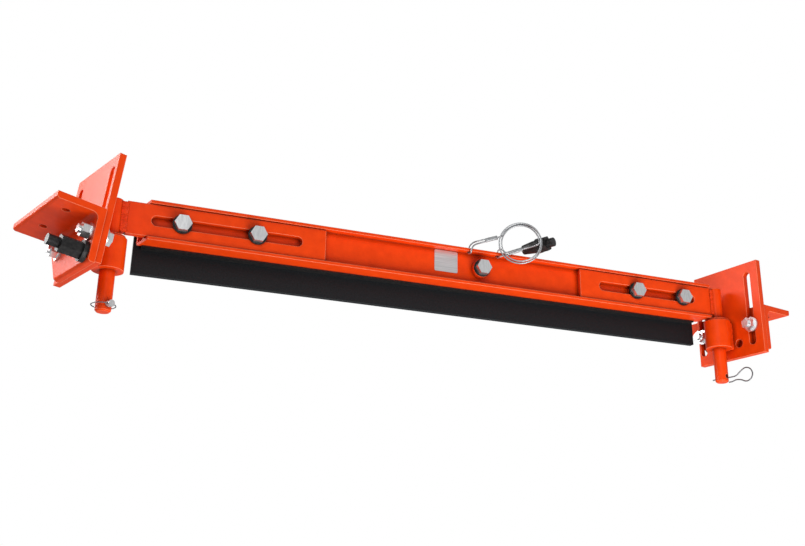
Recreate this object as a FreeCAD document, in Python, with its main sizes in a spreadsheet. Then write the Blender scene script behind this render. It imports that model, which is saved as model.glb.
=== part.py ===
import FreeCAD, Part
import math
import os
import re
import Sketcher

# Diagonal belt plow: a beam with a wiping blade that lies across the return belt of a conveyor.
# Two slotted arms telescope out of the beam, and each arm's end pin stands in a bracket sleeve.
# Frame: X along the beam, Y away from the slotted arms and towards the blade, Z up.
# Origin: the middle of the blade's wiping edge. All lengths are millimetres, all angles degrees.

SIZES = {
    # beam: a channel folded from plate, with a face plate welded between its flanges
    "beam_length": 1248.0,
    "channel_wall": 6.0,
    "channel_depth": 52.0,
    "channel_bend": 4.0,
    "face_thick": 6.35,
    "end_slant": 15.5,
    # wiping blade, the angle in front of it and the bar behind it
    "blade_thick": 12.7,
    "blade_grip": 69.65,
    "blade_tall": 120.65,
    "blade_left_reach": 19.0,
    "blade_right_gap": 15.0,
    "blade_adjust": 12.7,
    "retainer_thick": 3.2,
    "retainer_foot": 15.0,
    "retainer_tall": 65.0,
    "retainer_gap": 9.0,
    "bar_thick": 6.35,
    "bar_tall": 50.8,
    "bar_gap": 30.0,
    # slotted arms: the right one is shorter
    "arm_height": 63.5,
    "arm_thick": 12.7,
    "arm_gap": 1.3,
    "arm_setback": 4.1,
    "slot_margin": 45.0,
    "left_slot": 289.0,
    "right_slot": 247.0,
    "arm_tail": 47.0,
    "left_weld_gap": 7.5,
    "right_weld_gap": 2.0,
    "left_reach": 41.0,
    "right_reach": 3.0,
    "left_end_bolt": 61.0,
    "left_inner_bolt": 204.0,
    "right_inner_bolt": 195.0,
    "right_end_bolt": 74.0,
    "centre_bolt": 54.0,
    # three quarter inch bolts, nuts and washers
    "clamp_shank": 19.05,
    "clamp_slot": 20.6,
    "clamp_flats": 28.6,
    "clamp_head": 12.0,
    "clamp_nut": 16.7,
    "thread_proud": 6.0,
    "clamp_washer": 37.0,
    "washer_thick": 3.0,
    "bracket_shank": 15.875,
    "bracket_flats": 23.8,
    "bracket_head": 9.9,
    "bracket_nut": 13.9,
    "bracket_washer": 33.3,
    "bracket_slot": 17.5,
    "spacer_wide": 31.75,
    # pivot pins, their washers and locks
    "pin_wide": 28.6,
    "pin_long": 215.9,
    "pin_bevel": 3.0,
    "lock_rise": 12.7,
    "lock_bore": 10.3,
    "lock_wide": 9.5,
    "lock_reach": 19.5,
    "lock_head_wide": 12.7,
    "lock_head_long": 8.0,
    "lock_turn": 60.0,
    "wire_wide": 2.0,
    "wire_ring": 21.5,
    "clip_wire": 2.8,
    "clip_ring": 15.0,
    "clip_neck": 43.0,
    "clip_tip": 23.0,
    "clip_turn": 71.5,
    # sleeves and their washers
    "sleeve_wide": 57.15,
    "sleeve_gap": 0.08,
    "sleeve_drop": 13.0,
    "sleeve_tall": 62.0,
    "loose_washer_wide": 50.8,
    "loose_washer_thick": 4.5,
    # bracket plates: each is turned about its pin by its own yaw
    "left_yaw": 19.0,
    "right_yaw": 12.0,
    "plate_wide": 177.8,
    "left_plate_shift": -3.0,
    "right_plate_shift": 8.0,
    "plate_top": 116.0,
    "plate_foot": 96.0,
    "plate_thick": 12.7,
    "right_standoff": 31.0,
    "left_standoff": 35.0,
    "left_lean": 6.5,
    "lean_height": 20.0,
    "plate_slot_spread": 136.0,
    "plate_slot_top": 94.0,
    "plate_slot_foot": 74.0,
    "plate_hole_wide": 19.0,
    "plate_hole_spread": 62.0,
    "plate_hole_drop": 64.0,
    "weld_leg": 8.0,
    # hot rolled angles on the plates
    "angle_shelf": 88.9,
    "angle_leg": 101.6,
    "angle_thick": 12.7,
    "angle_root": 11.0,
    "angle_toe": 6.0,
    "angle_long": 206.0,
    "left_angle_shift": 1.0,
    "right_angle_shift": 6.0,
    "left_angle_top": 2.0,
    "right_angle_top": 14.0,
    "angle_cut": 60.0,
    "shelf_hole_wide": 14.3,
    "shelf_hole_out": 57.0,
    "shelf_hole_spread": 101.6,
    "angle_bolt_drop": 42.5,
    # black stud set on the left angle
    "stud_wide": 19.05,
    "stud_long": 81.0,
    "coupling_flats": 28.6,
    "coupling_long": 38.0,
    "stud_washer_wide": 38.0,
    "stud_washer_thick": 9.0,
    "stud_drop": 80.5,
    "stud_side": 68.0,
    # wire rope with an eye at each end, and the black fitting that its coil holds
    "eye_hole": 8.0,
    "eye_hole_inset": 8.5,
    "left_eye_hole": 26.0,
    "right_eye_hole": 91.0,
    "rope_wide": 3.2,
    "rope_datum": 129.1,
    "coil_wide": 85.0,
    "coil_thick": 11.4,
    "ferrule_wide": 9.5,
    "ferrule_thick": 6.0,
    "left_ferrule": 27.0,
    "right_ferrule": 28.4,
    "fitting_long": 73.0,
    "fitting_body": 34.0,
    "fitting_small": 20.0,
    "fitting_large": 29.0,
    "fitting_flats": 26.0,
    "fitting_collar": 31.75,
    "fitting_collar_thick": 8.0,
}

# Places that several pieces share, each worked out from the sizes above.
BLADE_FRONT = "-blade_thick / 2"
BLADE_BACK = "blade_thick / 2"
WEB_BACK = "-(blade_thick / 2 + retainer_thick)"
FLANGE_FRONT = "-(blade_thick / 2 + retainer_thick + channel_depth)"
ARM_FRONT = "(" + FLANGE_FRONT + " + arm_setback)"
FACE_FRONT = "(" + ARM_FRONT + " + arm_thick)"
FACE_BACK = "(" + FACE_FRONT + " + face_thick)"
PIN_DEPTH = "(" + ARM_FRONT + " + arm_thick / 2)"
CHANNEL_BOTTOM = "(blade_tall - blade_grip)"
ARM_BOTTOM = "(" + CHANNEL_BOTTOM + " + channel_wall + arm_gap)"
ARM_TOP = "(" + ARM_BOTTOM + " + arm_height)"
CHANNEL_TOP = "(" + ARM_TOP + " + arm_gap + channel_wall)"
BOLT_HEIGHT = "(" + ARM_BOTTOM + " + arm_height / 2)"
LEFT_END = "(-beam_length / 2 - left_reach)"
RIGHT_END = "(beam_length / 2 + right_reach)"
LEFT_PIN = "(" + LEFT_END + " - left_weld_gap - pin_wide / 2)"
RIGHT_PIN = "(" + RIGHT_END + " + right_weld_gap + pin_wide / 2)"
PIN_FOOT = "(" + ARM_TOP + " - pin_long)"
LOCK_HEIGHT = "(" + PIN_FOOT + " + lock_rise)"
SLEEVE_TOP = "(" + ARM_BOTTOM + " - sleeve_drop)"
ROPE_LIFT = "(" + CHANNEL_TOP + " - rope_datum)"
BOLT_PLACES = [
    "(left_end_bolt - beam_length / 2)",
    "(left_inner_bolt - beam_length / 2)",
    "centre_bolt",
    "(beam_length / 2 - right_inner_bolt)",
    "(beam_length / 2 - right_end_bolt)",
]

doc = FreeCAD.newDocument("belt_plow")
sheet = doc.addObject("Spreadsheet::Sheet", "Dims")
for row, (alias, value) in enumerate(SIZES.items(), start=1):
    sheet.set("A%d" % row, alias)
    sheet.set("B%d" % row, str(value))
    sheet.setAlias("B%d" % row, alias)
doc.recompute()
pieces = []


def dims(text):
    """Write a formula of size names as a formula of spreadsheet cells."""
    return re.sub(r"[a-z_]+", lambda word: "Dims." + word.group(0) if word.group(0) in SIZES else word.group(0), text)


def bind(item, field, text):
    item.setExpression(field, dims(text))


def keep(item, label):
    """Give a finished sub-part its name and list it for export."""
    item.Label = label
    pieces.append(item)
    return item


def place(item, x="0", y="0", z="0", axis="0; 0; 1", turn="0", before=""):
    """Bind the placement: the item is turned about its own origin, then moved, then put through before."""
    text = (
        "create(<<placement>>; create(<<vector>>; %s; %s; %s);"
        " create(<<rotation>>; create(<<vector>>; %s); %s))" % (x, y, z, axis, turn)
    )
    item.setExpression("Placement", dims(before + text))
    return item


def bracket_frame(side):
    """Placement of a bracket's own frame: origin on the pin axis, turned by the yaw of the plates."""
    pin = LEFT_PIN if side < 0 else RIGHT_PIN
    return (
        "create(<<placement>>; create(<<vector>>; %s; %s; 0);"
        " create(<<rotation>>; create(<<vector>>; 0; 0; 1); %s_yaw)) * " % (pin, PIN_DEPTH, name_of(side))
    )


def plate_frame(side):
    """The bracket's frame with the lean of the left plate, which tips about a level line in its inner face."""
    if side > 0:
        return bracket_frame(side)
    height = "(" + ARM_BOTTOM + " + lean_height)"
    there = "create(<<vector>>; -left_standoff; 0; " + height + ")"
    back = "create(<<vector>>; left_standoff; 0; -" + height + ")"
    lean = "create(<<rotation>>; create(<<vector>>; 0; 1; 0); left_lean)"
    none = "create(<<rotation>>; create(<<vector>>; 0; 0; 1); 0)"
    return (
        bracket_frame(side)
        + "create(<<placement>>; %s; %s) * create(<<placement>>; %s; %s) * " % (there, lean, back, none)
    )


def standoff(side):
    return "left_standoff" if side < 0 else "right_standoff"


def name_of(side):
    return "left" if side < 0 else "right"


def new_sketch(body, plane, offset="0"):
    """Sketch on one of the body's own origin planes, moved along the plane's normal by offset."""
    sketch = body.newObject("Sketcher::SketchObject", "outline")
    support = [feature for feature in body.Origin.OriginFeatures if feature.Role == plane][0]
    sketch.AttachmentSupport = [(support, "")]
    sketch.MapMode = "FlatFace"
    bind(sketch, "AttachmentOffset.Base.z", offset)
    return sketch


def pin_point(sketch, geometry, point, x, y):
    """Hold a point of the sketch at two formulas."""
    for kind, text in (("DistanceX", x), ("DistanceY", y)):
        index = sketch.addConstraint(Sketcher.Constraint(kind, -1, 1, geometry, point, number(text)))
        label = "%s_%d" % (kind.lower(), index)
        sketch.renameConstraint(index, label)
        bind(sketch, "Constraints." + label, text)


def number(text):
    """The value of a formula, used to draw a sketch near its final form."""
    probe = doc.getObject("Probe") or doc.addObject("App::FeaturePython", "Probe")
    if not hasattr(probe, "Value"):
        probe.addProperty("App::PropertyFloat", "Value")
    bind(probe, "Value", text)
    probe.recompute()
    return probe.Value


def polygon(sketch, corners):
    """Closed outline of straight lines whose corners are formulas."""
    points = [FreeCAD.Vector(number(x), number(y), 0) for x, y in corners]
    first = sketch.GeometryCount
    count = len(points)
    for index in range(count):
        sketch.addGeometry(Part.LineSegment(points[index], points[(index + 1) % count]), False)
    for index in range(count):
        sketch.addConstraint(Sketcher.Constraint("Coincident", first + index, 2, first + (index + 1) % count, 1))
    for index, (x, y) in enumerate(corners):
        pin_point(sketch, first + index, 1, x, y)


def circle(sketch, x, y, radius):
    centre = FreeCAD.Vector(number(x), number(y), 0)
    index = sketch.addGeometry(Part.Circle(centre, FreeCAD.Vector(0, 0, 1), number(radius)), False)
    pin_point(sketch, index, 3, x, y)
    rule = sketch.addConstraint(Sketcher.Constraint("Radius", index, number(radius)))
    sketch.renameConstraint(rule, "radius_%d" % rule)
    bind(sketch, "Constraints.radius_%d" % rule, radius)


def slot(sketch, start, end, radius):
    """Slot with round ends about two centres, each a pair of formulas."""
    a = FreeCAD.Vector(number(start[0]), number(start[1]), 0)
    b = FreeCAD.Vector(number(end[0]), number(end[1]), 0)
    r = number(radius)
    along = (b - a).normalize()
    side = FreeCAD.Vector(-along.y, along.x, 0) * r
    angle = math.atan2(along.y, along.x)
    up = FreeCAD.Vector(0, 0, 1)
    first = sketch.GeometryCount
    sketch.addGeometry(Part.LineSegment(a + side, b + side), False)
    far_end = Part.ArcOfCircle(Part.Circle(b, up, r), angle - math.pi / 2, angle + math.pi / 2)
    sketch.addGeometry(far_end, False)
    sketch.addGeometry(Part.LineSegment(b - side, a - side), False)
    near_end = Part.ArcOfCircle(Part.Circle(a, up, r), angle + math.pi / 2, angle + 3 * math.pi / 2)
    sketch.addGeometry(near_end, False)
    joins = ((0, 2, 1, 2), (1, 1, 2, 1), (2, 2, 3, 2), (3, 1, 0, 1))
    for one, one_end, other, other_end in joins:
        sketch.addConstraint(Sketcher.Constraint("Tangent", first + one, one_end, first + other, other_end))
    sketch.addConstraint(Sketcher.Constraint("Equal", first + 1, first + 3))
    pin_point(sketch, first + 1, 3, *end)
    pin_point(sketch, first + 3, 3, *start)
    rule = sketch.addConstraint(Sketcher.Constraint("Radius", first + 1, r))
    sketch.renameConstraint(rule, "radius_%d" % rule)
    bind(sketch, "Constraints.radius_%d" % rule, radius)


def new_body(name):
    return doc.addObject("PartDesign::Body", name)


def pad(body, sketch, length, middle=False, back=False):
    feature = body.newObject("PartDesign::Pad", "pad")
    feature.Profile = sketch
    bind(feature, "Length", length)
    feature.Midplane = middle
    feature.Reversed = back
    doc.recompute()
    return feature


def cut_through(body, sketch):
    """Cut the sketch through the whole solid, both ways, and make sure that it took something away."""
    before = body.Shape.Volume
    feature = body.newObject("PartDesign::Pocket", "cut")
    feature.Profile = sketch
    feature.Type = "ThroughAll"
    feature.Midplane = True
    doc.recompute()
    if body.Shape.Volume >= before:
        raise ValueError("a cut in %s takes nothing away" % body.Label)
    return feature


def cut_up(body, sketch):
    """Cut the sketch upwards through everything above it, and make sure that it took something away."""
    before = body.Shape.Volume
    feature = body.newObject("PartDesign::Pocket", "cut")
    feature.Profile = sketch
    feature.Type = "ThroughAll"
    feature.Reversed = True
    doc.recompute()
    if body.Shape.Volume >= before:
        raise ValueError("a cut in %s takes nothing away" % body.Label)
    return feature


def round_edges(body, chosen, radius):
    """Fillet the edges that the test picks."""
    base = body.Tip
    edges = ["Edge%d" % (index + 1) for index, edge in enumerate(base.Shape.Edges) if chosen(edge)]
    feature = body.newObject("PartDesign::Fillet", "round")
    feature.Base = (base, edges)
    bind(feature, "Radius", radius)
    doc.recompute()
    return feature


def cylinder(name, diameter, height):
    item = doc.addObject("Part::Cylinder", name)
    bind(item, "Radius", "(" + diameter + ") / 2")
    bind(item, "Height", height)
    return item


def hexagon(name, flats, height):
    item = doc.addObject("Part::Prism", name)
    item.Polygon = 6
    bind(item, "Circumradius", "(" + flats + ") / sqrt(3)")
    bind(item, "Height", height)
    return item


def block(name, length, width, height):
    item = doc.addObject("Part::Box", name)
    bind(item, "Length", length)
    bind(item, "Width", width)
    bind(item, "Height", height)
    return item


def cut(name, base, *tools):
    for tool in tools:
        item = doc.addObject("Part::Cut", name)
        item.Base = base
        item.Tool = tool
        base = item
    return base


def fuse(name, *parts):
    item = doc.addObject("Part::MultiFuse", name)
    item.Shapes = list(parts)
    return item


def group(name, items):
    """One node of several like solids."""
    item = doc.addObject("Part::Compound", name)
    item.Links = items
    return item


def ring(name, outer, inner, height):
    """Flat ring on the XY plane, with the bore right through."""
    bore = cylinder("bore", inner, "(" + height + ") * 3")
    place(bore, z="-(" + height + ")")
    return cut(name, cylinder("disc", outer, height), bore)


# A fastener below stands on its seat with its own Z axis pointing away from the piece that it holds.
# The axis turns lay that Z axis along the beam's depth or a bracket's width.
TO_FRONT = {"axis": "1; 0; 0", "turn": "90"}
TO_BACK = {"axis": "1; 0; 0", "turn": "-90"}


def bolt(name, grip, use="clamp"):
    """Bolt with its head above the seat and its shank reaching down through the grip."""
    head = hexagon("head", use + "_flats", use + "_head")
    shank = cylinder("shank", use + "_shank", grip)
    place(shank, z="-(" + grip + ")")
    return fuse(name, head, shank)


def nut(name, use="clamp"):
    bore = cylinder("bore", use + "_shank", use + "_nut * 3")
    place(bore, z="-" + use + "_nut")
    return cut(name, hexagon("hex", use + "_flats", use + "_nut"), bore)


def washer(name, use="clamp"):
    return ring(name, use + "_washer", use + "_slot", "washer_thick")


def end_of_beam(sign, depth):
    """Where the beam's slanting end lies at a depth: both ends are cut on the same slant."""
    slant = "(" + depth + " - " + FLANGE_FRONT + ") * tan(end_slant * 1 deg)"
    return "(%sbeam_length / 2 - %s)" % (sign, slant)


def beam_channel():
    """Folded channel, open to the front, with bend radii, slanting ends, bolt holes and two cable holes."""
    body = new_body("beam_channel")
    profile = new_sketch(body, "YZ_Plane")
    inside = WEB_BACK + " - channel_wall"
    polygon(profile, [
        (FLANGE_FRONT, CHANNEL_BOTTOM),
        (WEB_BACK, CHANNEL_BOTTOM),
        (WEB_BACK, CHANNEL_TOP),
        (FLANGE_FRONT, CHANNEL_TOP),
        (FLANGE_FRONT, CHANNEL_TOP + " - channel_wall"),
        (inside, CHANNEL_TOP + " - channel_wall"),
        (inside, CHANNEL_BOTTOM + " + channel_wall"),
        (FLANGE_FRONT, CHANNEL_BOTTOM + " + channel_wall"),
    ])
    pad(body, profile, "beam_length + channel_depth", middle=True)
    web_back = number(WEB_BACK)
    web_front = number(inside)

    def along_beam(edge, depth):
        box = edge.BoundBox
        level = abs(box.YMin - depth) < 0.01 and abs(box.YMax - depth) < 0.01
        return level and box.XLength > 100

    round_edges(body, lambda edge: along_beam(edge, web_back), "channel_bend + channel_wall")
    round_edges(body, lambda edge: along_beam(edge, web_front), "channel_bend")
    ends = new_sketch(body, "XY_Plane")
    front = FLANGE_FRONT + " - 1"
    back = WEB_BACK + " + 1"
    for sign in ("-", ""):
        outside = "(%s(beam_length + channel_depth * 2))" % sign
        polygon(ends, [
            (outside, front),
            (end_of_beam(sign, front), front),
            (end_of_beam(sign, back), back),
            (outside, back),
        ])
    cut_through(body, ends)
    holes = new_sketch(body, "XZ_Plane")
    for x in BOLT_PLACES:
        circle(holes, x, BOLT_HEIGHT, "clamp_slot / 2")
    cut_through(body, holes)
    eyes = new_sketch(body, "XY_Plane", ARM_TOP)
    for x in ("left_eye_hole", "right_eye_hole"):
        circle(eyes, x, FLANGE_FRONT + " + eye_hole_inset", "eye_hole / 2")
    cut_up(body, eyes)
    return keep(body, "beam_channel")


def beam_face_plate():
    """Plate welded between the flanges: the arms lie against it."""
    body = new_body("beam_face_plate")
    plan = new_sketch(body, "XY_Plane", ARM_BOTTOM + " - arm_gap")
    polygon(plan, [
        (end_of_beam("-", FACE_FRONT), FACE_FRONT),
        (end_of_beam("", FACE_FRONT), FACE_FRONT),
        (end_of_beam("", FACE_BACK), FACE_BACK),
        (end_of_beam("-", FACE_BACK), FACE_BACK),
    ])
    pad(body, plan, "arm_height + arm_gap * 2")
    holes = new_sketch(body, "XZ_Plane")
    for x in BOLT_PLACES:
        circle(holes, x, BOLT_HEIGHT, "clamp_slot / 2")
    cut_through(body, holes)
    return keep(body, "beam_face_plate")


def bolt_spacers():
    """Tubes inside the beam that keep the bolts from crushing it."""
    long = "(" + WEB_BACK + " - channel_wall - " + FACE_BACK + ")"
    tubes = []
    for x in BOLT_PLACES:
        tube = ring("tube", "spacer_wide", "clamp_slot", long)
        tubes.append(place(tube, x, FACE_BACK, BOLT_HEIGHT, **TO_BACK))
    return keep(group("bolt_spacers", tubes), "bolt_spacers")


def blade_retainer():
    """Thin black angle between the beam's back and the blade, with its foot under the beam."""
    body = new_body("blade_retainer")
    profile = new_sketch(body, "YZ_Plane", end_of_beam("-", WEB_BACK) + " + retainer_gap")
    foot_bottom = CHANNEL_BOTTOM + " - retainer_thick"
    polygon(profile, [
        (WEB_BACK + " - retainer_foot", foot_bottom),
        (BLADE_FRONT, foot_bottom),
        (BLADE_FRONT, foot_bottom + " + retainer_tall"),
        (WEB_BACK, foot_bottom + " + retainer_tall"),
        (WEB_BACK, CHANNEL_BOTTOM),
        (WEB_BACK + " - retainer_foot", CHANNEL_BOTTOM),
    ])
    pad(body, profile, "beam_length - retainer_gap * 2")
    holes = new_sketch(body, "XZ_Plane")
    for x in BOLT_PLACES:
        circle(holes, x, BOLT_HEIGHT, "clamp_slot / 2")
    cut_through(body, holes)
    return keep(body, "blade_retainer")


def blade():
    """Wiping blade with upright slots, so that it goes down as its edge wears."""
    body = new_body("blade")
    face = new_sketch(body, "XZ_Plane")
    left = "(-beam_length / 2 - blade_left_reach)"
    right = "(beam_length / 2 - blade_right_gap)"
    polygon(face, [(left, "0"), (right, "0"), (right, "blade_tall"), (left, "blade_tall")])
    pad(body, face, "blade_thick", middle=True)
    slots = new_sketch(body, "XZ_Plane")
    for x in BOLT_PLACES:
        low = (x, BOLT_HEIGHT + " - blade_adjust")
        high = (x, BOLT_HEIGHT + " + blade_adjust")
        slot(slots, low, high, "clamp_slot / 2")
    cut_through(body, slots)
    return keep(body, "blade")


def blade_clamp_bar():
    """Flat bar behind the blade that spreads the bolts' grip."""
    body = new_body("blade_clamp_bar")
    face = new_sketch(body, "XZ_Plane", "-(" + BLADE_BACK + ")")
    left = "(bar_gap - beam_length / 2)"
    right = "(beam_length / 2 - bar_gap)"
    low = BOLT_HEIGHT + " - bar_tall / 2"
    high = BOLT_HEIGHT + " + bar_tall / 2"
    polygon(face, [(left, low), (right, low), (right, high), (left, high)])
    pad(body, face, "bar_thick", back=True)
    holes = new_sketch(body, "XZ_Plane")
    for x in BOLT_PLACES:
        circle(holes, x, BOLT_HEIGHT, "clamp_slot / 2")
    cut_through(body, holes)
    return keep(body, "blade_clamp_bar")


def clamp_hardware():
    """The five bolts through arm, beam and blade, with their washers, nuts and the centre spacer."""
    head_seat = "(" + ARM_FRONT + " - washer_thick)"
    bar_back = "(" + BLADE_BACK + " + bar_thick)"
    nut_seat = "(" + bar_back + " + washer_thick)"
    grip = nut_seat + " - " + head_seat + " + clamp_nut + thread_proud"
    bolts = []
    front_washers = []
    back_washers = []
    nuts = []
    for x in BOLT_PLACES:
        bolts.append(place(bolt("bolt", grip), x, head_seat, BOLT_HEIGHT, **TO_FRONT))
        front_washers.append(place(washer("washer"), x, ARM_FRONT, BOLT_HEIGHT, **TO_FRONT))
        back_washers.append(place(washer("washer"), x, bar_back, BOLT_HEIGHT, **TO_BACK))
        nuts.append(place(nut("nut"), x, nut_seat, BOLT_HEIGHT, **TO_BACK))
    keep(group("clamp_bolts", bolts), "clamp_bolts")
    keep(group("clamp_front_washers", front_washers), "clamp_front_washers")
    keep(group("clamp_back_washers", back_washers), "clamp_back_washers")
    keep(group("clamp_nuts", nuts), "clamp_nuts")
    spacer = ring("centre_spacer", "clamp_washer", "clamp_slot", "arm_thick")
    place(spacer, BOLT_PLACES[2], FACE_FRONT, BOLT_HEIGHT, **TO_FRONT)
    keep(spacer, "centre_spacer")


def arm(side):
    """Flat bar with one long slot: two of the clamp bolts pass through the slot."""
    body = new_body(name_of(side) + "_arm")
    sign = "+" if side < 0 else "-"
    end = LEFT_END if side < 0 else RIGHT_END
    opening_long = name_of(side) + "_slot"
    tail = "(%s %s (slot_margin + %s + arm_tail))" % (end, sign, opening_long)
    face = new_sketch(body, "XZ_Plane", "-" + ARM_FRONT)
    polygon(face, [(end, ARM_BOTTOM), (tail, ARM_BOTTOM), (tail, ARM_TOP), (end, ARM_TOP)])
    pad(body, face, "arm_thick", back=True)
    opening = new_sketch(body, "XZ_Plane")
    near = "(%s %s (slot_margin + clamp_slot / 2))" % (end, sign)
    far = "(%s %s (slot_margin + %s - clamp_slot / 2))" % (end, sign, opening_long)
    slot(opening, (near, BOLT_HEIGHT), (far, BOLT_HEIGHT), "clamp_slot / 2")
    cut_through(body, opening)
    return keep(body, name_of(side) + "_arm")


def lock_axis(side):
    """Turn of the cross hole's axis about the pin, from the X axis."""
    return "-lock_turn" if side < 0 else "-clip_turn"


def pivot_pin(side):
    """Round pin welded to the arm's end, bevelled at the foot and drilled across for its lock."""
    body = new_body(name_of(side) + "_pin")
    base = new_sketch(body, "XY_Plane", PIN_FOOT)
    circle(base, "0", "0", "pin_wide / 2")
    pad(body, base, "pin_long")
    foot = number(PIN_FOOT)
    bevel = body.newObject("PartDesign::Chamfer", "bevel")
    base_feature = body.Group[-2]
    edges = ["Edge%d" % (index + 1) for index, edge in enumerate(base_feature.Shape.Edges)
             if edge.BoundBox.ZMax < foot + 0.01]
    bevel.Base = (base_feature, edges)
    bind(bevel, "Size", "pin_bevel")
    doc.recompute()
    hole = new_sketch(body, "XZ_Plane")
    circle(hole, "0", LOCK_HEIGHT, "lock_bore / 2")
    cut_through(body, hole)
    turn = lock_axis(side) + " - 90"
    place(body, LEFT_PIN if side < 0 else RIGHT_PIN, PIN_DEPTH, "0", turn=turn)
    return keep(body, name_of(side) + "_pin")


def arm_weld(side):
    """Weld metal that fills the corners between the arm's square end and the round pin."""
    pin_x = LEFT_PIN if side < 0 else RIGHT_PIN
    end = LEFT_END if side < 0 else RIGHT_END
    tall = "arm_height - weld_leg / 2"
    low = ARM_BOTTOM + " + weld_leg / 4"
    wide = "(pin_wide / 2 + %s_weld_gap + weld_leg / 4)" % name_of(side)
    metal = block("metal", wide, "arm_thick + weld_leg / 2", tall)
    shift = "0" if side < 0 else "-" + wide
    place(metal, pin_x + " + " + shift, ARM_FRONT + " - weld_leg / 4", low)
    pin = cylinder("pin", "pin_wide", "pin_long")
    place(pin, pin_x, PIN_DEPTH, PIN_FOOT)
    bar = block("bar", "arm_tail", "arm_thick", "arm_height")
    place(bar, end if side < 0 else end + " - arm_tail", ARM_FRONT, ARM_BOTTOM)
    return keep(cut("corner_metal", metal, pin, bar), name_of(side) + "_arm_weld")


def lock_pin():
    """Locking pin through the left pivot pin, with a drilled head for its wire."""
    shaft_long = "(lock_reach * 2)"
    shaft = cylinder("shaft", "lock_wide", shaft_long)
    place(shaft, z="-lock_reach")
    head = cylinder("head", "lock_head_wide", "lock_head_long")
    place(head, z="wire_ring - lock_head_long / 2")
    wire_hole = cylinder("wire_hole", "wire_wide * 2.2", "lock_head_wide * 2")
    place(wire_hole, y="lock_head_wide", z="wire_ring - wire_wide / 4", axis="1; 0; 0", turn="90")
    pin = cut("lock_pin", fuse("solid", shaft, head), wire_hole)
    turned = "create(<<placement>>; create(<<vector>>; %s; %s; %s);" % (LEFT_PIN, PIN_DEPTH, LOCK_HEIGHT)
    turned += " create(<<rotation>>; create(<<vector>>; 0; 0; 1); -lock_turn)) * "
    place(pin, axis="0; 1; 0", turn="90", before=turned)
    return keep(pin, "lock_pin")


def lock_wire():
    """Wire ring that swings in the lock pin's head and snaps over its tip."""
    wire = doc.addObject("Part::Torus", "lock_wire")
    bind(wire, "Radius1", "wire_ring")
    bind(wire, "Radius2", "wire_wide / 2")
    place(wire, LEFT_PIN, PIN_DEPTH, LOCK_HEIGHT)
    return keep(wire, "lock_wire")


def loose_washer(side):
    """Thick washer that lies on the sleeve, round the pin."""
    washer_item = ring("washer", "loose_washer_wide", "pin_wide + 1", "loose_washer_thick")
    place(washer_item, LEFT_PIN if side < 0 else RIGHT_PIN, PIN_DEPTH, SLEEVE_TOP)
    return keep(washer_item, name_of(side) + "_washer")


def sleeve(side):
    """Thick tube that turns on the pin."""
    tube = ring("tube", "sleeve_wide", "pin_wide + sleeve_gap * 2", "sleeve_tall")
    place(tube, LEFT_PIN if side < 0 else RIGHT_PIN, PIN_DEPTH, SLEEVE_TOP + " - sleeve_tall")
    return keep(tube, name_of(side) + "_sleeve")


def bracket_plate(side):
    """Plate with two upright slots for the angle's bolts and two round holes low down."""
    body = new_body(name_of(side) + "_plate")
    outward = standoff(side)
    face = new_sketch(body, "YZ_Plane", ("-" if side < 0 else "") + outward)
    near = "(-plate_wide / 2 - %s_plate_shift)" % name_of(side)
    far = "(plate_wide / 2 - %s_plate_shift)" % name_of(side)
    low = "(" + ARM_BOTTOM + " - plate_foot)"
    high = "(" + ARM_BOTTOM + " + plate_top)"
    polygon(face, [(near, low), (far, low), (far, high), (near, high)])
    pad(body, face, "plate_thick", back=side < 0)
    openings = new_sketch(body, "YZ_Plane")
    slot_low = "(" + ARM_BOTTOM + " - plate_slot_foot + bracket_slot / 2)"
    slot_high = "(" + ARM_BOTTOM + " + plate_slot_top - bracket_slot / 2)"
    hole_height = "(" + ARM_BOTTOM + " - plate_hole_drop)"
    for sign in ("-", ""):
        across = "(%splate_slot_spread / 2)" % sign
        slot(openings, (across, slot_low), (across, slot_high), "bracket_slot / 2")
        circle(openings, "(%splate_hole_spread / 2)" % sign, hole_height, "plate_hole_wide / 2")
    cut_through(body, openings)
    body.setExpression("Placement", dims(plate_frame(side) + "create(<<placement>>; create(<<vector>>; 0; 0; 0);"
                                         " create(<<rotation>>; create(<<vector>>; 0; 0; 1); 0))"))
    return keep(body, name_of(side) + "_plate")


def sleeve_weld(side):
    """Weld metal between the sleeve and the plate: on the leaning left plate it widens downwards."""
    outward = standoff(side)
    low = "(" + SLEEVE_TOP + " - sleeve_tall)"
    wide = "(sleeve_wide / 2 + weld_leg / 2)"
    body = new_body("filler")
    profile = new_sketch(body, "XZ_Plane")
    lean = "left_lean" if side < 0 else "0"
    sign = "-" if side < 0 else ""
    slope = "tan(%s * 1 deg)" % lean
    pivot = "(" + ARM_BOTTOM + " + lean_height)"
    plate_low = "(%s + (%s - %s) * %s)" % (outward, pivot, low, slope)
    plate_high = "(%s + (%s - %s) * %s)" % (outward, pivot, SLEEVE_TOP, slope)
    inner = "(%spin_wide / 2)" % sign
    polygon(profile, [
        (inner, low),
        (sign + plate_low, low),
        (sign + plate_high, SLEEVE_TOP),
        (inner, SLEEVE_TOP),
    ])
    pad(body, profile, wide, middle=True)
    tube = cylinder("tube", "sleeve_wide", "sleeve_tall * 3")
    place(tube, z=low + " - sleeve_tall")
    metal = cut("metal", body, tube)
    place(metal, before=bracket_frame(side))
    return keep(metal, name_of(side) + "_sleeve_weld")


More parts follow.
